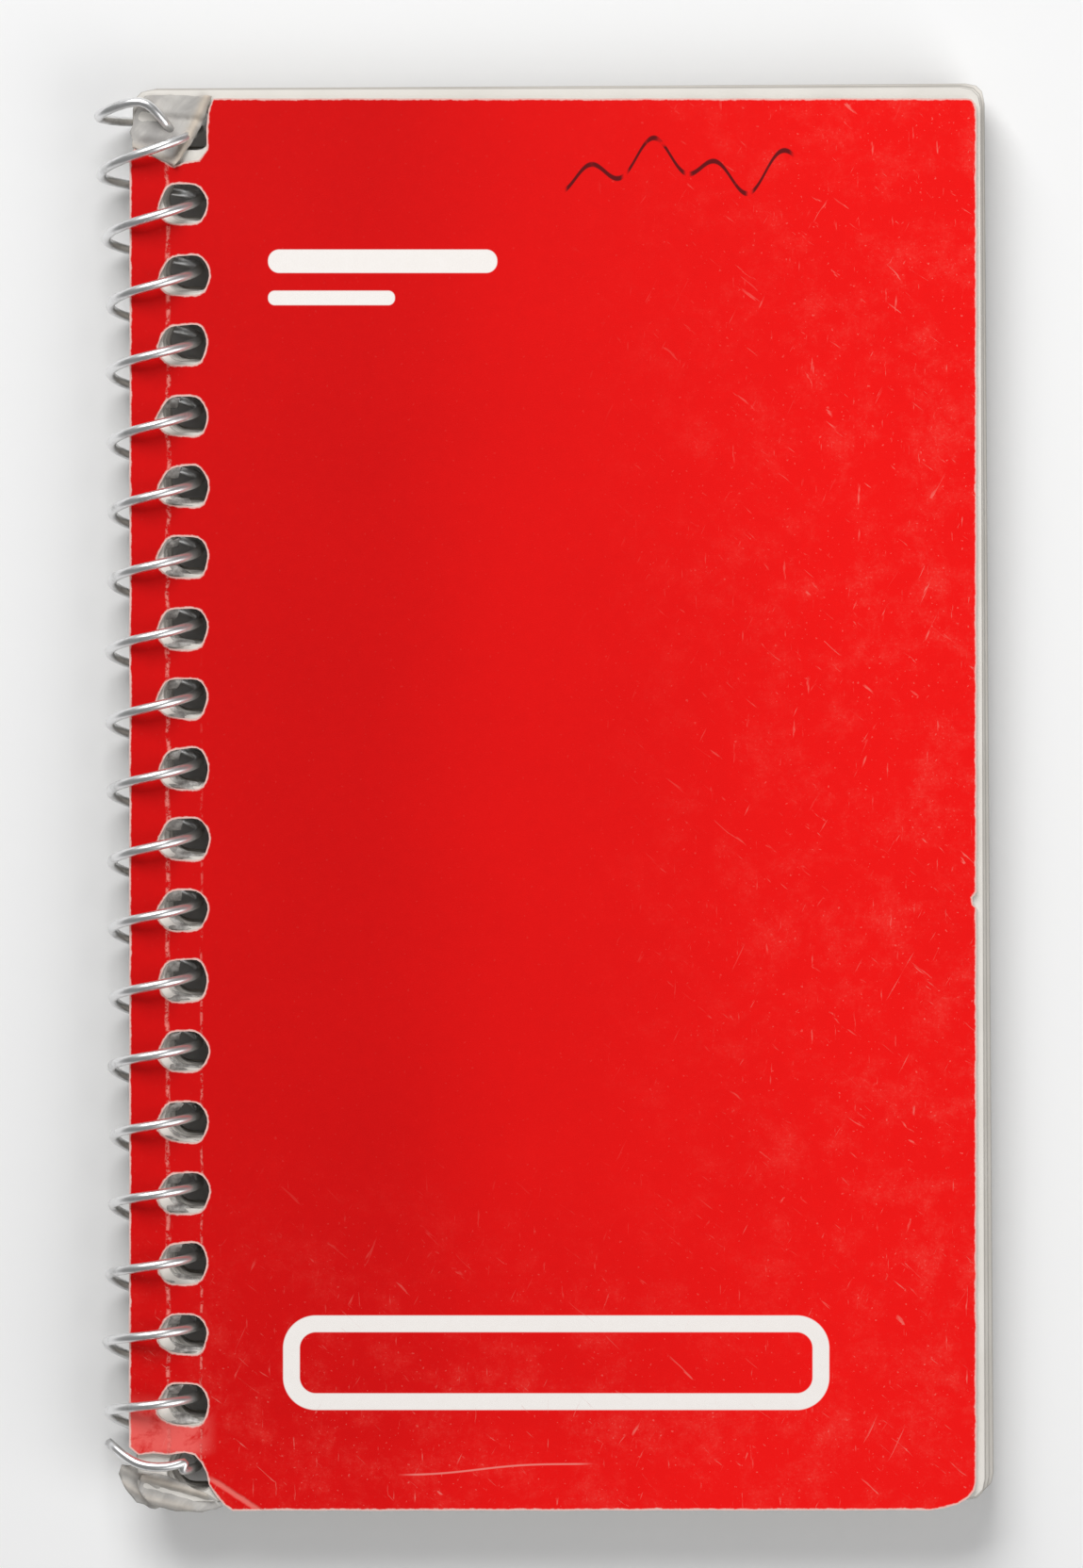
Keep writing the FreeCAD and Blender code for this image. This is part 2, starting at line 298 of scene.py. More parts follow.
def red_card_material():
    f = finish()
    m = Shader("coated_red_card", Coat_Roughness=0.25, Coat_IOR=1.4, Specular_IOR_Level=0.1)
    x, y, uv = m.sheet_place()
    cloud = m.noise(uv, 5.0, 5.0)
    fibre = m.noise(uv, 900.0, 3.0, 0.7)
    mottle = m.noise(uv, 95.0, 6.0, 0.7)
    # painted light: the face is painted brighter towards the fore edge and a little towards the foot, over
    # random mottle
    light = x.ramp(20.0, 37.0) * 0.4 + x.ramp(33.0, 68.0) * 0.46 + (cloud - 0.5) * 0.35
    light = light + (mottle - 0.5) * 0.3 + y.ramp(12.0, 2.0) * 0.25 + 0.1
    face = m.mix(light.smaller(1.0).larger(0.0), tuple(f.red), tuple(f.bright_red))
    # dull haze towards the fore edge and foot, where the cover rubs in a pocket
    rubbed = (x.ramp(36.0, 76.0) * 0.85).larger(y.ramp(36.0, 0.0) * 0.8)
    haze = m.noise(uv, 20.0, 12.0, 0.8, 0.15).ramp(0.46, 0.8) * rubbed
    face = m.mix(haze * 0.42, face, (0.97, 0.11, 0.08))
    grain = m.noise(uv, 420.0, 3.0, 0.6)
    specks = m.noise(uv, 300.0, 2.0, 0.5).ramp(0.67, 0.74) * (rubbed * 0.8 + 0.1)
    nicks = m.noise(m.stretched(uv, (1.0, 0.12, 1.0)), 240.0, 3.0, 0.6).ramp(0.66, 0.75)
    slant_place = m.turned(uv, (0.16, 1.2, 1.0), 0.7)
    slant = m.noise(slant_place, 210.0, 3.0, 0.55, 0.8).ramp(0.67, 0.75)
    steep = m.noise(m.turned(uv, (0.13, 1.2, 1.0), -1.1), 170.0, 3.0, 0.55, 0.8).ramp(0.68, 0.76)
    scratches = (nicks.larger(slant).larger(steep) * rubbed).smaller(1.0)
    worn = (specks * 0.3 + scratches * 0.42 + haze * grain.ramp(0.5, 0.75) * 0.34).smaller(0.75)
    face = m.mix(worn, face, (0.95, 0.4, 0.33))
    # one long scratch beside the foot
    long_scratch = (y - (x * 0.062 + 1.75) - (x * 0.4).math("SINE") * 0.14).size().ramp(0.12, 0.03)
    face = m.mix(long_scratch * x.band(33.0, 8.0, 1.0) * 0.5, face, (0.95, 0.42, 0.36))
    # cracked ink where the card bends beside the wire, worse towards the foot
    crackle = m.noise(uv, 150.0, 4.0, 0.7)
    waver = (m.noise(uv, 26.0, 3.0) - 0.5) * 0.9
    near = (x + waver - 3.5).size().ramp(0.26, 0.05) * crackle.ramp(0.42, 0.56)
    far = (x + waver * 0.6 - 6.5).size().ramp(0.16, 0.04) * crackle.ramp(0.46, 0.56)
    far = far * y.ramp(80.0, 30.0)
    cracks = near.larger(far * 0.8)
    face = m.mix(cracks * 0.72, face, (0.95, 0.3, 0.25))
    # a pressed diagonal fold runs off the torn foot corner, which has lost most of its ink
    fold = (y - (x * -0.66 + 7.75) + (crackle - 0.5) * 0.3).size().ramp(0.42, 0.1)
    fold = fold * y.ramp(3.3, 2.6)
    face = m.mix(fold * 0.6, face, (0.95, 0.26, 0.22))
    patch = m.noise(uv, 36.0, 5.0, 0.65, 0.4).ramp(0.3, 0.52)
    bleached = y.ramp(11.0, 7.6) * x.ramp(8.2, 5.4) * patch * y.ramp(4.6, 5.6)
    face = m.mix(bleached * 0.75, face, (0.95, 0.17, 0.15))
    # pale torn card round the holes and along the trimmed edges
    patchy = m.noise(uv, 130.0, 4.0, 0.7)
    edge = (m.edge_wear_and_shade() + (patchy - 0.5) * 0.9).ramp(0.42, 0.82)
    face = m.mix(edge * 0.85, face, (0.84, 0.62, 0.56))
    white = cover_print(x, y) * (1.0 - scratches * 0.3)
    face = m.mix(white * 0.98, face, m.mix(mottle, (0.92, 0.88, 0.84), (0.97, 0.95, 0.92)))
    face = m.mix(pen_stroke(m, x, y, uv), face, (0.04, 0.006, 0.008))
    bare = edge.larger(cracks).smaller(1.0)
    rough = (haze * 0.2 + fibre * 0.1 + 0.4 + bare * 0.3).smaller(0.92)
    relief = fibre * 0.25 + cloud * 0.9 - cracks * 1.6 - scratches * 0.5 - fold * 1.5
    return m.finish(face, rough, m.bump(relief, 0.00005, 0.7), Coat_Weight=(1.0 - bare) * 0.06)


def card_core_material():
    """The card's uncoated back and its cut or torn edge."""
    m = Shader("raw_card", Specular_IOR_Level=0.2)
    _, _, uv = m.sheet_place()
    fibre = m.noise(m.stretched(uv, (1.0, 0.35, 1.0)), 700.0, 4.0, 0.7)
    cloud = m.noise(uv, 30.0, 4.0)
    color = m.mix(cloud.ramp(0.3, 0.7), (0.55, 0.51, 0.46), (0.7, 0.67, 0.62))
    color = m.mix(fibre.ramp(0.55, 0.75) * 0.35, color, (0.4, 0.37, 0.33))
    return m.finish(color, fibre * 0.1 + 0.82, m.bump(fibre, 0.00003, 0.6))


def torn_ply_material():
    """Greyed inner ply with soft long wrinkles painted darker in their hollows as painted shade, tan where
    it has rolled over.
    """
    m = Shader("torn_ply", Specular_IOR_Level=0.15)
    _, _, uv = m.sheet_place()
    fibre = m.noise(uv, 800.0, 4.0, 0.7)
    wrinkle_height_and_shade = m.noise(m.turned(uv, (1.0, 0.45, 1.0), 0.6), 70.0, 4.0, 0.55, 0.4)
    # painted shade: the noise that raises the wrinkles also colours them, darker in the hollows and paler on
    # the ridges
    color = m.mix(wrinkle_height_and_shade.ramp(0.3, 0.7), (0.4, 0.385, 0.37), (0.56, 0.54, 0.51))
    color = m.mix(m.edge_wear_and_shade() * 0.8, color, (0.62, 0.53, 0.43))
    return m.finish(color, fibre * 0.1 + 0.82, m.bump(fibre * 0.3 + wrinkle_height_and_shade, 0.0001, 0.8))


def paper_material():
    """Thin writing stock with pale rules, greyed with painted shade along its fore edge, foot, head and hole
    rims.
    """
    m = Shader("ruled_paper", Specular_IOR_Level=0.2)
    x, y, uv = m.sheet_place()
    fibre = m.noise(uv, 800.0, 4.0, 0.7)
    cloud = m.noise(uv, 14.0, 4.0)
    paper = tuple(finish().paper)
    color = m.mix(cloud.ramp(0.35, 0.75) * 0.4, paper, (0.7, 0.67, 0.61))
    rule = ((y - 3.2).wrap(6.35) - 3.175).size().ramp(0.16, 0.08) * y.band(58.5, 55.0, 0.1)
    rule = rule * x.ramp(74.6, 74.2)
    color = m.mix(rule * 0.5, color, (0.25, 0.42, 0.62))
    # painted shade: grey bands along the fore edge, foot and head, where the leaves show beyond the cover
    painted_edge_shade = (x.ramp(73.5, 77.0)).larger(y.ramp(4.0, 0.0)).larger(y.ramp(123.5, 127.0))
    color = m.mix(painted_edge_shade * 0.12, color, (0.5, 0.46, 0.42))
    # painted shade: each leaf darkens to a grey line at its edges and hole rims, standing for the gaps
    # between the layers
    color = m.mix(m.edge_wear_and_shade().ramp(0.5, 0.95) * 0.5, color, (0.3, 0.28, 0.26))
    return m.finish(color, fibre * 0.08 + 0.84, m.bump(fibre, 0.00002, 0.5))


def crumpled_leaf_material():
    """Crumpled writing stock, painted darker in the hollows of its crumples as painted shade."""
    m = Shader("crumpled_leaf", Specular_IOR_Level=0.2)
    _, _, uv = m.sheet_place()
    fibre = m.noise(uv, 800.0, 4.0, 0.7)
    crumple_height_and_shade = m.noise(uv, 120.0, 5.0, 0.65)
    # painted shade: the noise that raises the crumples also colours them, dark grey in the hollows and pale
    # on the tops
    color = m.mix(crumple_height_and_shade.ramp(0.35, 0.65), (0.32, 0.305, 0.29), (0.68, 0.66, 0.63))
    return m.finish(color, fibre * 0.08 + 0.84, m.bump(crumple_height_and_shade + fibre * 0.2, 0.0001, 0.7))


def board_material():
    """Grey chipboard with flecks of darker and paler fibre."""
    m = Shader("grey_board", Specular_IOR_Level=0.2)
    _, _, uv = m.sheet_place()
    fleck = m.noise(m.stretched(uv, (1.0, 0.5, 1.0)), 380.0, 3.0, 0.6)
    cloud = m.noise(uv, 6.0, 5.0)
    board = tuple(finish().board)
    color = m.mix(cloud.ramp(0.3, 0.75), board, tuple(c * 1.25 for c in board))
    color = m.mix(fleck.ramp(0.62, 0.7) * 0.6, color, (0.14, 0.12, 0.1))
    color = m.mix(fleck.ramp(0.36, 0.28) * 0.5, color, (0.62, 0.59, 0.53))
    rubbed = (m.edge_wear_and_shade() + (cloud - 0.5) * 0.8).ramp(0.3, 1.0)
    color = m.mix(rubbed * 0.5, color, (0.5, 0.46, 0.4))
    return m.finish(color, cloud * 0.1 + 0.8, m.bump(fleck + rubbed * 0.5, 0.00006, 0.6))


def wire_material():
    """Drawn steel wire, a little dull, with drawing lines and dark handling marks."""
    m = Shader("drawn_steel", Metallic=1.0)
    place = m.object_place()
    grain = m.noise(m.stretched(place, (0.3, 4.0, 0.3)), 1500.0, 3.0, 0.6)
    marks = m.noise(place, 420.0, 4.0, 0.65)
    color = m.mix(marks.ramp(0.5, 0.75) * 0.5, tuple(finish().steel), (0.3, 0.29, 0.28))
    rough = grain * 0.16 + marks.ramp(0.5, 0.75) * 0.15 + 0.26
    return m.finish(color, rough, m.bump(grain, 0.00002, 0.4))


# ---------------------------------------------------------------- mesh tools


def rounded(corners, reach, steps=3):
    """A closed outline with each corner cut by a small curve that starts reach from it."""
    out = []
    for i, corner in enumerate(corners):
        here = Vector(corner)
        before, after = Vector(corners[i - 1]), Vector(corners[(i + 1) % len(corners)])
        start = here + (before - here).normalized() * min(reach, (before - here).length * 0.45)
        end = here + (after - here).normalized() * min(reach, (after - here).length * 0.45)
        for k in range(steps + 1):
            t = k / steps
            out.append(start * (1 - t) ** 2 + here * 2 * t * (1 - t) + end * t**2)
    return out


def hole_outline(centre_x, centre_y, rng, uneven, pulled):
    """A punched hole: nearly square, its bound side slanting in towards the head, and its foot side
    pulled lower where the wire has dragged on the sheet."""
    foot = -1.8 - pulled
    corners = [
        (-2.45, -0.5), (-1.35, foot + 0.05), (1.65, foot - 0.05), (2.4, 0.25), (1.5, 1.85),
        (-1.35, 1.75),
    ]
    moved = [
        (centre_x + x + rng.uniform(-uneven, uneven), centre_y + y + rng.uniform(-uneven, uneven))
        for x, y in corners
    ]
    return rounded(moved, 0.8)


def ragged(points, step, amount, rng):
    """The same closed outline in short steps, each point nudged by up to amount."""
    out = []
    for i, start in enumerate(points):
        a, b = Vector(start), Vector(points[(i + 1) % len(points)])
        pieces = max(1, int((b - a).length / step))
        for k in range(pieces):
            nudge = Vector((rng.uniform(-amount, amount), rng.uniform(-amount, amount)))
            out.append(a.lerp(b, k / pieces) + nudge)
    return out


def grown(points, by):
    """The closed outline moved outwards by an even amount, or inwards where it is negative."""
    points = [Vector(p) for p in points]
    pairs = list(zip(points, points[1:] + points[:1]))
    area = sum(a.x * b.y - b.x * a.y for a, b in pairs)
    side = by if area > 0 else -by
    out = []
    for i, here in enumerate(points):
        along = points[(i + 1) % len(points)] - points[i - 1]
        out.append(here + Vector((along.y, -along.x)).normalized() * side)
    return out


def loop_edges(bm, points):
    if not bm.verts.layers.float.get("edge_wear_and_shade"):
        bm.verts.layers.float.new("edge_wear_and_shade")
    verts = [bm.verts.new((p[0], p[1], 0.0)) for p in points]
    return [bm.edges.new((v, verts[(i + 1) % len(verts)])) for i, v in enumerate(verts)]


def add_rim(bm, ring, wall):
    """Extrudes a ring of edges sideways to the wall beside it, and marks that wall as worn, a band that the
    leaves darken as painted shade.
    """
    layer = bm.verts.layers.float["edge_wear_and_shade"]
    corners = [edge.verts[0] for edge in ring]
    made = set(bmesh.ops.extrude_edge_only(bm, edges=ring)["geom"])
    for corner, place in zip(corners, wall):
        beside = (edge.other_vert(corner) for edge in corner.link_edges)
        moved = next(vert for vert in beside if vert in made)
        moved.co = (place[0], place[1], 0.0)
        moved[layer] = 1.0


def flat_sheet(outline, holes, thick, cuts, rim=0.0):
    """A closed thin solid from z 0 to thick, in millimetres, cut across at each x in cuts so it can
    bend. With a rim, a narrow band inside its edges carries the wear of those edges, and on the leaves their
    painted shade."""
    bm = bmesh.new()
    walls = [outline, *holes]
    inner = [grown(outline, -rim), *(grown(hole, rim) for hole in holes)] if rim else walls
    loops = [loop_edges(bm, points) for points in inner]
    every_edge = [edge for loop in loops for edge in loop]
    bmesh.ops.triangle_fill(bm, use_beauty=True, use_dissolve=False, edges=every_edge)
    if rim:
        for loop, wall in zip(loops, walls):
            add_rim(bm, loop, wall)
    for x in cuts:
        everything = bm.verts[:] + bm.edges[:] + bm.faces[:]
        bmesh.ops.bisect_plane(
            bm, geom=everything, dist=1e-5, plane_co=(x, 0, 0), plane_no=(1, 0, 0)
        )
    for face in bm.faces:
        face.normal_update()
        if face.normal.z > 0:
            face.normal_flip()
    top = bmesh.ops.extrude_face_region(bm, geom=bm.faces[:], use_keep_orig=True)
    lifted = [g for g in top["geom"] if isinstance(g, bmesh.types.BMVert)]
    bmesh.ops.translate(bm, vec=(0, 0, thick), verts=lifted)
    bmesh.ops.recalc_face_normals(bm, faces=bm.faces[:])
    return bm


def map_flat(bm):
    """The sheet's own map, laid from its flat shape."""
    layer = bm.loops.layers.uv.new("flat")
    for face in bm.faces:
        for loop in face.loops:
            loop[layer].uv = (loop.vert.co.x / UV_SCALE, loop.vert.co.y / UV_SCALE)


def settle(bm, left, foot, height, turn=0.0):
    """Moves a sheet from its own corner and millimetres to its place in the frame, in metres."""
    c, s = math.cos(turn), math.sin(turn)
    for vert in bm.verts:
        p = vert.co - TURN_CENTRE
        p = Vector((p.x * c - p.y * s, p.x * s + p.y * c, p.z)) + TURN_CENTRE
        vert.co = Vector((left + p.x * MM, foot + p.y * MM, height + p.z * MM))


def gather(whole, part):
    """Adds one bmesh to another."""
    mesh = bpy.data.meshes.new("part")
    part.to_mesh(mesh)
    part.free()
    whole.from_mesh(mesh)
    bpy.data.meshes.remove(mesh)


def thickened(bm, thick):
    """Gives an open crumpled surface its thickness, smooth and facing outwards."""
    bmesh.ops.recalc_face_normals(bm, faces=bm.faces[:])
    bmesh.ops.solidify(bm, geom=bm.faces[:], thickness=thick)
    bmesh.ops.recalc_face_normals(bm, faces=bm.faces[:])
    for face in bm.faces:
        face.smooth = True


def make_piece(name, bm, slot, *materials):
    """A finished object made from the bmesh. The slot it is given is not used."""
    mesh = bpy.data.meshes.new(name)
    bm.to_mesh(mesh)
    bm.free()
    piece = bpy.data.objects.new(name, mesh)
    bpy.context.collection.objects.link(piece)
    for material in materials:
        mesh.materials.append(material)
    return piece


def material(name, maker):
    """The named material, made the first time it is asked for."""
    return bpy.data.materials.get(name) or maker()


def lowest_hole():
    """How far up the sheet the middle of its lowest hole lies, in millimetres."""
    return (COVER_TALL - (sizes().hole_count - 1) * sizes().hole_pitch) / 2


def hole_row(rng, uneven, skip=(), pulled=0.0):
    """The outlines of a sheet's punched holes from the foot up, without the skipped ones."""
    s = sizes()
    rows = [n for n in range(s.hole_count) if n not in skip]
    middles = [lowest_hole() + n * s.hole_pitch for n in rows]
    return [hole_outline(s.hole_centre, middle, rng, uneven, pulled) for middle in middles]


def bend_cuts(bound_edge):
    """Lines across the bend, in its own millimetres, of a sheet whose edge lies at bound_edge."""
    half = sizes().bend_width / 2
    middle = (CREASE.x - bound_edge) / MM
    steps = 10
    return [middle - half + 2 * half * k / steps for k in range(steps + 1)]


def bend(piece, root, mover):
    """Blends a sheet from its held edge to its moving part, over the width that bends."""
    half = Vector((sizes().bend_width / 2 * MM, 0, 0))
    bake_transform(piece, root, mover, start=CREASE - half, end=CREASE + half)


# ---------------------------------------------------------------- pieces


class NOTEBOOK_OT_front_cover(bpy.types.Operator):
    """Makes the red card cover, torn at both bound corners and worn along its edges"""

    bl_idname = "notebook.front_cover"
    bl_label = "Front cover"

    def execute(self, context):
        rng = random.Random(sizes().seed)
        wide = (PANEL_HIGH[0] - EDGE_LOW[0]) / MM
        tall = COVER_TALL
        head_tear = [
            (7.55, tall), (7.15, 126.0), (6.95, 124.3), (7.0, 122.4), (6.3, 121.5), (5.1, 121.3),
            (4.0, 120.9), (3.1, 121.4), (2.4, 121.8), (1.3, 122.1), (0.6, 122.5), (0.05, 122.0),
        ]
        foot_tear = [
            (0.0, 5.7), (0.8, 5.0), (2.2, 5.15), (3.6, 5.0), (5.0, 5.2), (5.9, 5.0), (6.5, 4.3),
            (6.95, 3.4), (7.15, 2.3), (7.9, 1.2), (8.6, 0.5), (9.3, 0.0),
        ]
        worn_corner = [
            (wide - 4.2, 0.03), (wide - 2.9, 0.2), (wide - 1.7, 0.55), (wide - 0.75, 1.1),
            (wide - 0.2, 1.8), (wide, 2.7),
        ]
        chip = [(wide, 54.2), (wide - 0.3, 54.5), (wide - 0.42, 55.1), (wide, 55.6)]
        head_corner = rounded([(wide, tall - 6), (wide, tall), (wide - 5, tall)], 1.0)[4:8]
        outline = [*foot_tear, *worn_corner, *chip, *head_corner, *head_tear]
        outline = ragged(outline, 1.3, 0.028, rng)
        holes = hole_row(rng, 0.16, skip=(0, sizes().hole_count - 1))
        thick = (PANEL_HIGH[2] - PANEL_LOW[2]) / MM
        bm = flat_sheet(outline, holes, thick, bend_cuts(EDGE_LOW[0]), rim=0.38)
        map_flat(bm)
        for face in bm.faces:
            face.material_index = 0 if face.normal.z > 0.5 else 1
        settle(bm, EDGE_LOW[0], EDGE_LOW[1], EDGE_LOW[2])
        red = material("coated_red_card", red_card_material)
        raw = material("raw_card", card_core_material)
        piece = make_piece("front_cover", bm, "red_card", red, raw)
        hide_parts("front_cover_bound_edge", "front_cover_panel")
        bend(piece, "back", "front_cover")
        return {"FINISHED"}


class NOTEBOOK_OT_torn_card(bpy.types.Operator):
    """Makes the crumpled scraps of card ply left where the bound corners tore"""

    bl_idname = "notebook.torn_card"
    bl_label = "Torn card"

    def execute(self, context):
        # each scrap has an outline, and folds: two ends, height, half width, and tan wear along it
        head = [
            (1.4, 127.2), (4.2, 127.3), (7.5, 127.25), (6.9, 125.4), (5.6, 122.9), (4.05, 120.8),
            (3.0, 121.4), (1.5, 122.0), (0.35, 122.6), (0.1, 124.0), (0.6, 125.9),
        ]
        head_folds = [
            ((7.2, 127.6), (4.2, 121.0), 0.55, 0.42, 1.0),
            ((0.2, 122.7), (4.2, 121.1), 0.42, 0.4, 0.6),
            ((1.2, 125.4), (6.3, 125.0), -0.4, 0.35, 0.0),
            ((2.0, 126.8), (3.6, 124.4), 0.28, 0.5, 0.1),
            ((1.0, 123.6), (5.2, 123.4), 0.3, 0.6, 0.0),
        ]
        foot = [
            (1.1, 3.3), (2.8, 3.3), (5.1, 2.4), (7.0, 1.5), (8.5, 0.3), (6.6, -0.15), (3.7, 0.0),
            (1.9, 0.6), (0.8, 1.9),
        ]
        foot_folds = [
            ((0.9, 3.1), (6.9, 1.4), 0.35, 0.35, 0.7),
            ((1.5, 2.3), (7.6, 0.6), -0.3, 0.3, 0.0),
            ((1.5, 1.1), (5.4, 0.2), 0.35, 0.4, 0.4),
        ]
        under = [
            (-0.7, 4.1), (0.9, 4.0), (2.6, 2.9), (3.6, 1.0), (2.4, 0.0), (0.7, 0.7), (-0.3, 1.9),
            (-0.9, 3.2),
        ]
        under_folds = [
            ((-0.8, 3.9), (2.6, 2.2), 0.4, 0.45, 0.2),
            ((-0.5, 2.4), (2.4, 0.6), 0.25, 0.35, 0.4),
        ]
        self.scrap("torn_ply_head", head, head_folds, 0.06)
        self.scrap("torn_ply_foot", foot, foot_folds, 0.1)
        self.scrap("torn_ply_under", under, under_folds, -0.35)
        return {"FINISHED"}

    def scrap(self, name, outline, folds, lift):
        rng = random.Random(sizes().seed + len(name) + len(outline))
        bm = bmesh.new()
        edges = loop_edges(bm, ragged(outline, 0.5, 0.07, rng))
        bmesh.ops.triangle_fill(bm, use_beauty=True, use_dissolve=False, edges=edges)
        for _ in range(4):
            long = [edge for edge in bm.edges if edge.calc_length() > 0.3]
            bmesh.ops.subdivide_edges(bm, edges=long, cuts=1)
            bmesh.ops.triangulate(bm, faces=bm.faces[:])
        map_flat(bm)
        layer = bm.verts.layers.float["edge_wear_and_shade"]
        for vert in bm.verts:
            x, y = vert.co.x, vert.co.y
            height = lift + 0.05 * math.sin(x * 3.1 + y * 1.7) * math.cos(y * 2.6 - x)
            for start, end, ridge, half, tan in folds:
                start, end, here = Vector(start), Vector(end), vert.co.to_2d()
                along = (here - start).dot(end - start) / (end - start).length_squared
                along = max(0.0, min(1.0, along))
                near = math.exp(-(((here - start.lerp(end, along)).length / half) ** 2))
                height += ridge * near
                vert[layer] = max(vert[layer], tan * near)
            vert.co.z = height
        thickened(bm, 0.06)
        settle(bm, EDGE_LOW[0], EDGE_LOW[1], EDGE_LOW[2])
        piece = make_piece(name, bm, "red_card", material("torn_ply", torn_ply_material))
        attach(piece, "back")


class NOTEBOOK_OT_torn_margins(bpy.types.Operator):
    """Makes the crumpled scraps of leaf that the wire has pushed up inside the punched holes"""

    bl_idname = "notebook.torn_margins"
    bl_label = "Torn margins"

    # corners of a scrap: across and along from the middle of its hole, and height from the
    # cover's underside
    LOWER = ((-2.2, -1.75, 0.05), (1.75, -1.8, 0.0), (1.4, -1.45, -0.5), (-2.1, -0.35, -0.7))
    UPPER = ((-2.0, 0.75, -0.9), (-0.35, 0.95, -1.2), (-0.1, 1.8, 0.0), (-1.5, 1.8, 0.05))

    def execute(self, context):
        s = sizes()
        rng = random.Random(s.seed + 77)
        whole = bmesh.new()
        for number in range(1, s.hole_count - 1):
            from_head = s.hole_count - 1 - number
            middle = (s.hole_centre, lowest_hole() + number * s.hole_pitch)
            # scraps are more and fuller towards the foot
            share = min(1.0, max(0.0, (from_head - 2) / 7))
            if rng.random() < 0.25 + share:
                self.scrap(whole, middle, self.LOWER, rng, 0.55 + 0.45 * share)
            if rng.random() < 0.3 + share:
                self.scrap(whole, middle, self.UPPER, rng, 0.7 + 0.3 * share)
        settle(whole, EDGE_LOW[0], EDGE_LOW[1], EDGE_LOW[2])
        crumpled = material("crumpled_leaf", crumpled_leaf_material)
        piece = make_piece("torn_margins", whole, "paper", crumpled)
        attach(piece, "back")
        return {"FINISHED"}

    def scrap(self, whole, middle, corners, rng, scale):
        bm = bmesh.new()
        bmesh.ops.create_grid(bm, x_segments=12, y_segments=8, size=0.5)
        turns = [rng.uniform(0.0, 2 * math.pi) for _ in range(3)]
        bulge, crumple = rng.uniform(0.25, 0.5), rng.uniform(0.1, 0.2)
        near, right, far, left = (Vector(corner) for corner in corners)
        spare = [Vector((rng.uniform(-0.2, 0.2), rng.uniform(-0.15, 0.15), 0.0)) for _ in range(2)]
        for vert in bm.verts:
            u, v = vert.co.x + 0.5, vert.co.y + 0.5
            low_side = near.lerp(right + spare[0], u * scale)
            place = low_side.lerp(left.lerp(far + spare[1], u * scale), v)
            place.z += bulge * math.sin(math.pi * u) * math.sin(math.pi * v) - 0.1
            place.z += crumple * math.sin(7.5 * u + turns[0] + 3 * v) * math.sin(5 * v + turns[1])
            place.z = min(place.z, 0.33)
            place.y += 0.12 * math.sin(6 * u + turns[2]) * v
            vert.co = place + Vector((*middle, 0.0))
        map_flat(bm)
        thickened(bm, 0.05)
        gather(whole, bm)


class NOTEBOOK_OT_leaves(bpy.types.Operator):
    """Makes the packs of ruled leaves, each leaf slightly out of line with its neighbours"""

    bl_idname = "notebook.leaves"
    bl_label = "Leaves"

    def execute(self, context):
        for number in range(1, PACKS + 1):
            self.pack(number)
        return {"FINISHED"}

    def pack(self, number):
        s = sizes()
        rng = random.Random(s.seed * 31 + number)
        low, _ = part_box(f"sheet_edges_{number}")
        _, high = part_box(f"sheets_{number}")
        wide, tall = (high[0] - low[0]) / MM, (high[1] - low[1]) / MM
        pitch = (high[2] - low[2]) / MM / s.leaves
        cuts = bend_cuts(low[0])
        whole = bmesh.new()
        for leaf in range(s.leaves):
            corners = [(0, 0), (wide, 0), (wide, tall), (0, tall)]
            outline = rounded(corners, 1.5 + 0.4 * rng.random())
            holes = hole_row(rng, 0.07, pulled=0.45)
            bm = flat_sheet(outline, holes, s.leaf_thick, cuts, rim=0.16)
            map_flat(bm)
            depth = (number - 1 + leaf / s.leaves) / PACKS
            turn = math.radians(s.skew * (0.35 + 0.65 * depth) + rng.uniform(-0.03, 0.03))
            # leaves lie in three loose blocks, each pushed out as one
            block = 0.16 * ((number - 1) // 2 - 1)
            left = low[0] + (block + rng.uniform(-0.05, 0.05)) * MM
            foot = low[1] + (block + rng.uniform(-0.08, 0.08)) * MM
            settle(bm, left, foot, low[2] + (leaf * pitch + 0.004) * MM, turn)
            gather(whole, bm)
        paper = material("ruled_paper", paper_material)
        piece = make_piece(f"pages_{number}", whole, "paper", paper)
        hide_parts(f"sheets_{number}", f"sheet_edges_{number}")
        bend(piece, "back", f"pages_{number}")


class NOTEBOOK_OT_back_cover(bpy.types.Operator):
    """Makes the grey board back, punched like the leaves and rubbed at its edges"""

    bl_idname = "notebook.back_cover"
    bl_label = "Back cover"

    def execute(self, context):
        rng = random.Random(sizes().seed + 3)
        low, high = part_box("back_cover")
        wide, tall, thick = ((high[axis] - low[axis]) / MM for axis in range(3))
        outline = rounded([(0, 0), (wide, 0), (wide, tall), (0, tall)], 1.4)
        outline = ragged(outline, 2.5, 0.03, rng)
        # the wire leans towards the head where it passes the board, so the holes are worn that way
        worn = Vector((0.0, 0.55))
        holes = [[point + worn for point in hole] for hole in hole_row(rng, 0.05, pulled=worn.y)]
        bm = flat_sheet(outline, holes, thick, (), rim=0.35)
        map_flat(bm)
        settle(bm, low[0], low[1], low[2], math.radians(sizes().skew))
        piece = make_piece("back_board", bm, "board", material("grey_board", board_material))
        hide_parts("back_cover")
        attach(piece, "back")
        return {"FINISHED"}


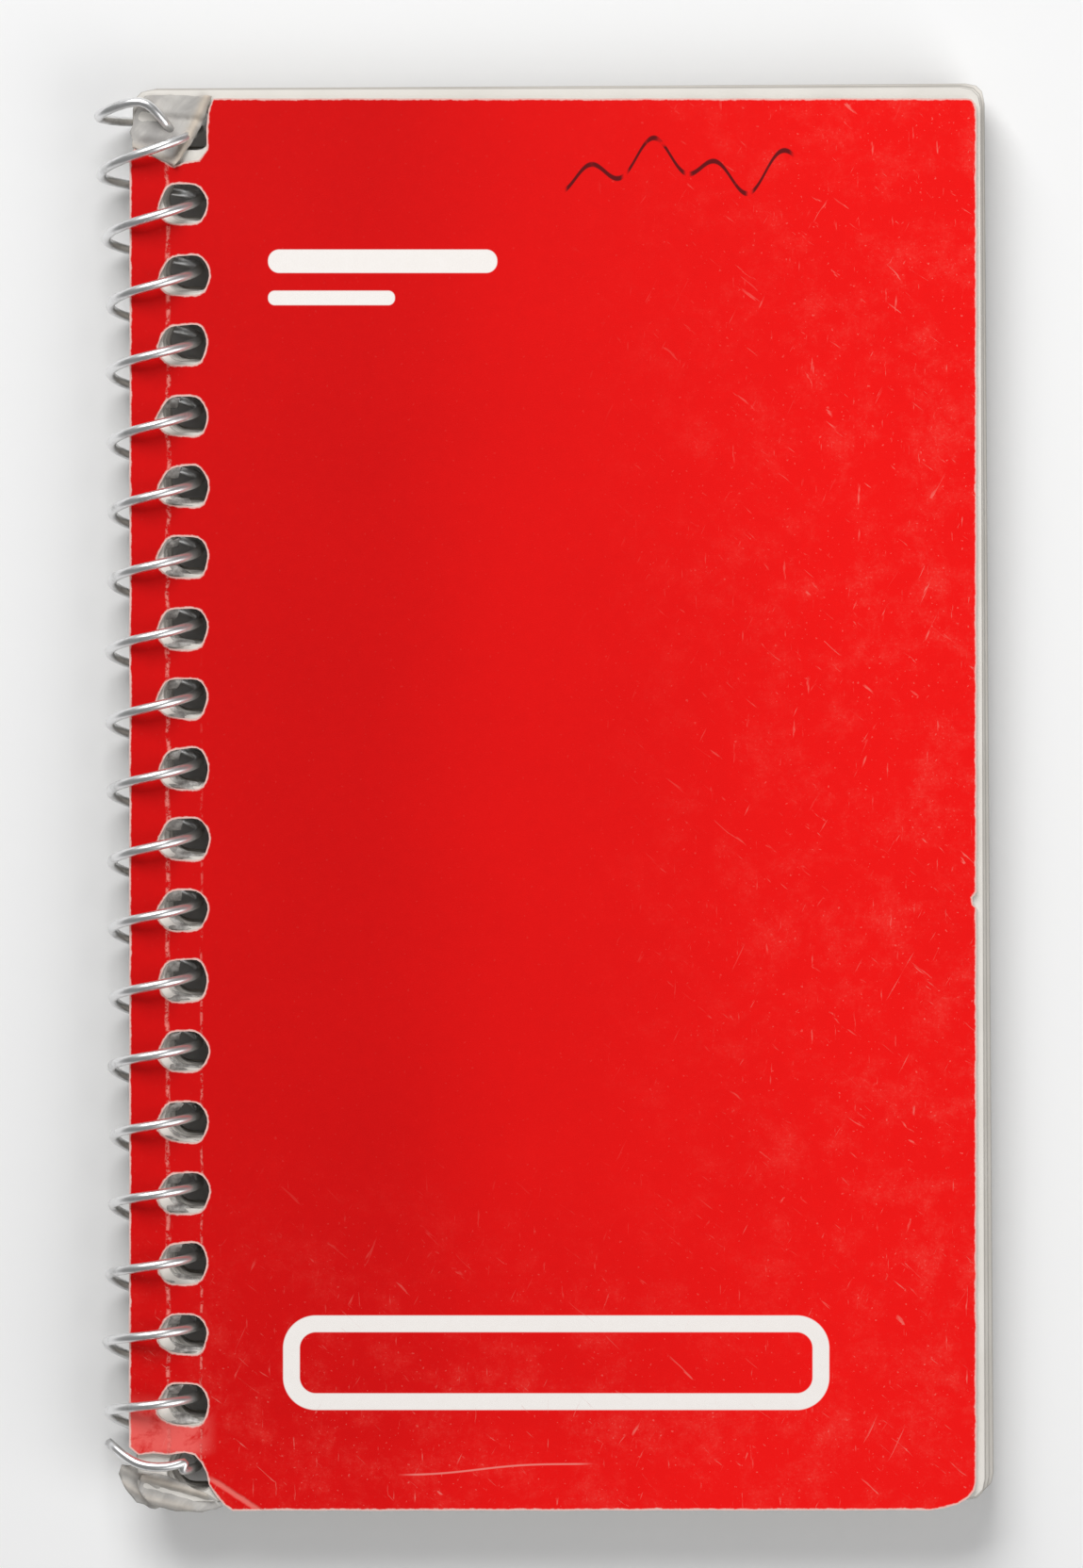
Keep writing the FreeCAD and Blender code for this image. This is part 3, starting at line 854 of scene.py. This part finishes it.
class NOTEBOOK_OT_coil(bpy.types.Operator):
    """Winds the uneven wire coil, with its two ends bent in over the corners of the cover"""

    bl_idname = "notebook.coil"
    bl_label = "Coil"

    WIRE = 0.85
    AXIS = 2.3  # the coil's axis, inwards from the cover's bound edge
    HEAD_DROP = 2.0  # the quarter turn before the first hole leans as if the pitch were this much less
    STEPS = 20  # points in a turn
    # along the coil, counted in turns from the head: where the wire rises in a hole, how far below
    # the hole its outer tip falls, and how far that tip is bent outwards
    LEAD = ((0, 0.75), (5, 0.72), (12, 0.85), (20, 0.85))
    DROP = ((0, 3.6), (1, 3.0), (3, 2.35), (9, 2.1), (13, 1.35), (17, 0.95), (20, 0.5))
    REACH = ((0, 1.0), (2, 0.1), (11, 0.0), (15, -0.26), (16, 0.35), (20, 0.2))
    HEAD_TAIL = (
        (3.7, 124.2, -0.35), (2.8, 125.4, 0.6), (1.4, 126.75, 0.75), (-0.6, 126.5, 0.2),
        (-3.1, 125.5, -1.3), (-2.4, 125.3, -3.6), (0.2, 125.2, -6.0),
    )
    FOOT_TAIL = (
        (5.2, 4.5, 0.55), (4.0, 4.05, 0.95), (2.4, 3.95, 1.15), (0.8, 4.2, 0.85), (-0.7, 5.1, 0.2),
        (-1.9, 6.1, -0.9),
    )

    def execute(self, context):
        s = sizes()
        rng = random.Random(s.seed + 5)
        low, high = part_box("coil")
        wire = self.WIRE / 2 * MM
        middle, rise = EDGE_LOW[0] + self.AXIS * MM, (low[2] + high[2]) / 2
        radius = (high[2] - low[2]) / 2 - wire
        pitch, turns, steps = s.hole_pitch, s.hole_count, self.STEPS
        head = (COVER_TALL + (turns - 1) * pitch) / 2
        points = [self.spot(*place) for place in self.HEAD_TAIL]
        for turn in range(turns):
            hole = head - turn * pitch
            start = hole + self.between(self.LEAD, turn)
            tip = hole - self.between(self.DROP, turn) + rng.uniform(-0.12, 0.12)
            end = hole - pitch + self.between(self.LEAD, turn + 1)
            reach = self.between(self.REACH, turn) + rng.uniform(-0.15, 0.2)
            first = -steps // 4 if turn == 0 else 0
            last = steps // 5 if turn == turns - 1 else steps
            for step in range(first, last):
                angle = 2 * math.pi * step / steps
                share = abs(angle) / math.pi
                if step < 0:
                    along = start + (pitch - self.HEAD_DROP) * share / 2
                elif share < 1:
                    along = start + (tip - start) * share
                else:
                    along = tip + (end - tip) * (share - 1)
                outward = reach * max(0.0, -math.cos(angle)) ** 2
                across = middle + radius * math.cos(angle) - outward * MM
                points.append((across, EDGE_LOW[1] + along * MM, rise + radius * math.sin(angle)))
        points += [self.spot(*place) for place in self.FOOT_TAIL]
        piece = self.wire_mesh("coil_wire", points, wire)
        piece.data.materials.append(material("drawn_steel", wire_material))
        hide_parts("coil")
        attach(piece, "coil")
        return {"FINISHED"}

    def spot(self, across, along, height):
        """A place by the cover's bound foot corner and its upper face, in millimetres."""
        return EDGE_LOW[0] + across * MM, EDGE_LOW[1] + along * MM, EDGE_HIGH[2] + height * MM

    def between(self, knots, turn):
        """A value read off a few (turn, value) knots by straight lines."""
        for (a, low), (b, high) in zip(knots, knots[1:]):
            if turn <= b:
                return low + (high - low) * (turn - a) / (b - a)
        return knots[-1][1]

    def wire_mesh(self, name, points, radius):
        """A smooth round wire through the points, as a closed mesh."""
        curve = bpy.data.curves.new(name, "CURVE")
        curve.dimensions = "3D"
        curve.bevel_depth = radius
        curve.bevel_resolution = 4
        curve.resolution_u = 3
        curve.use_fill_caps = True
        spline = curve.splines.new("NURBS")
        spline.points.add(len(points) - 1)
        for point, place in zip(spline.points, points):
            point.co = (*place, 1.0)
        spline.order_u = 3
        spline.use_endpoint_u = True
        holder = bpy.data.objects.new(name + "_line", curve)
        bpy.context.collection.objects.link(holder)
        graph = bpy.context.evaluated_depsgraph_get()
        mesh = bpy.data.meshes.new_from_object(holder.evaluated_get(graph))
        mesh.name = name
        bpy.data.objects.remove(holder)
        bm = bmesh.new()
        bm.from_mesh(mesh)
        bmesh.ops.remove_doubles(bm, verts=bm.verts[:], dist=1e-6)
        bmesh.ops.recalc_face_normals(bm, faces=bm.faces[:])
        bm.to_mesh(mesh)
        bm.free()
        for face in mesh.polygons:
            face.use_smooth = True
        mesh.materials.clear()
        piece = bpy.data.objects.new(name, mesh)
        bpy.context.collection.objects.link(piece)
        return piece


# ---------------------------------------------------------------- stage


class NOTEBOOK_OT_stage(bpy.types.Operator):
    """Lays the pale floor and sets the soft lights and the overhead camera"""

    bl_idname = "notebook.stage"
    bl_label = "Stage"

    def execute(self, context):
        self.floor()
        self.lights()
        self.camera()
        return {"FINISHED"}

    def floor(self):
        bm = bmesh.new()
        bmesh.ops.create_grid(bm, x_segments=8, y_segments=8, size=1.5)
        mesh = bpy.data.meshes.new("floor")
        bm.to_mesh(mesh)
        bm.free()
        floor = bpy.data.objects.new("floor", mesh)
        bpy.context.collection.objects.link(floor)
        m = Shader("pale_floor", Specular_IOR_Level=0.1)
        tone = m.noise(m.object_place(), 5.0, 2.0)
        color = m.mix(tone, (0.92, 0.92, 0.92), (0.94, 0.94, 0.94))
        mesh.materials.append(m.finish(color, tone * 0.05 + 0.8))

    def lights(self):
        world = bpy.data.worlds.new("studio")
        world.use_nodes = True
        background = world.node_tree.nodes["Background"]
        background.inputs["Color"].default_value = (1, 1, 1, 1)
        background.inputs["Strength"].default_value = 0.2
        bpy.context.scene.world = world
        for name, place, wide, power in (
            ("key", (-0.2, 0.62, 0.6), 0.55, 6.6),
            ("fill", (0.62, -0.4, 0.6), 0.8, 4.2),
        ):
            lamp = bpy.data.lights.new(name, "AREA")
            lamp.size = wide
            lamp.energy = power
            holder = bpy.data.objects.new(name, lamp)
            holder.location = place
            holder.rotation_euler = (-Vector(place)).to_track_quat("-Z", "Y").to_euler()
            bpy.context.collection.objects.link(holder)

    def camera(self):
        frame_tall, sensor, away = 0.141, 24.0, 0.9  # metres, millimetres, metres
        aim_across, aim_up = 37.08, 65.34  # the middle of the view, from the cover's bound foot corner
        camera = bpy.data.cameras.new("overhead")
        camera.sensor_fit = "VERTICAL"
        camera.sensor_height = sensor
        camera.lens = sensor * (away - EDGE_HIGH[2]) / frame_tall
        holder = bpy.data.objects.new("overhead", camera)
        holder.location = (EDGE_LOW[0] + aim_across * MM, EDGE_LOW[1] + aim_up * MM, away)
        bpy.context.collection.objects.link(holder)
        bpy.context.scene.camera = holder
        bpy.context.scene.view_settings.view_transform = "Standard"


class NOTEBOOK_PT_panel(bpy.types.Panel):
    bl_label = "Notebook"
    bl_idname = "NOTEBOOK_PT_panel"
    bl_space_type = "VIEW_3D"
    bl_region_type = "UI"
    bl_category = "Notebook"

    def draw(self, context):
        for group in (context.scene.notebook_sizes, context.scene.notebook_finish):
            for name in group.bl_rna.properties.keys():
                if name not in ("rna_type", "name"):
                    self.layout.prop(group, name)
        for operator in OPERATORS:
            self.layout.operator(operator.bl_idname)


OPERATORS = (
    NOTEBOOK_OT_front_cover,
    NOTEBOOK_OT_torn_card,
    NOTEBOOK_OT_torn_margins,
    NOTEBOOK_OT_leaves,
    NOTEBOOK_OT_back_cover,
    NOTEBOOK_OT_coil,
    NOTEBOOK_OT_stage,
)
CLASSES = (NotebookSizes, NotebookFinish, *OPERATORS, NOTEBOOK_PT_panel)


def register():
    for each in CLASSES:
        bpy.utils.register_class(each)
    bpy.types.Scene.notebook_sizes = PointerProperty(type=NotebookSizes)
    bpy.types.Scene.notebook_finish = PointerProperty(type=NotebookFinish)


def unregister():
    del bpy.types.Scene.notebook_finish
    del bpy.types.Scene.notebook_sizes
    for each in reversed(CLASSES):
        bpy.utils.unregister_class(each)


def main():
    register()
    bpy.ops.notebook.front_cover()
    bpy.ops.notebook.torn_card()
    bpy.ops.notebook.torn_margins()
    bpy.ops.notebook.leaves()
    bpy.ops.notebook.back_cover()
    bpy.ops.notebook.coil()
    bpy.ops.notebook.stage()


if __name__ == "__main__":
    main()
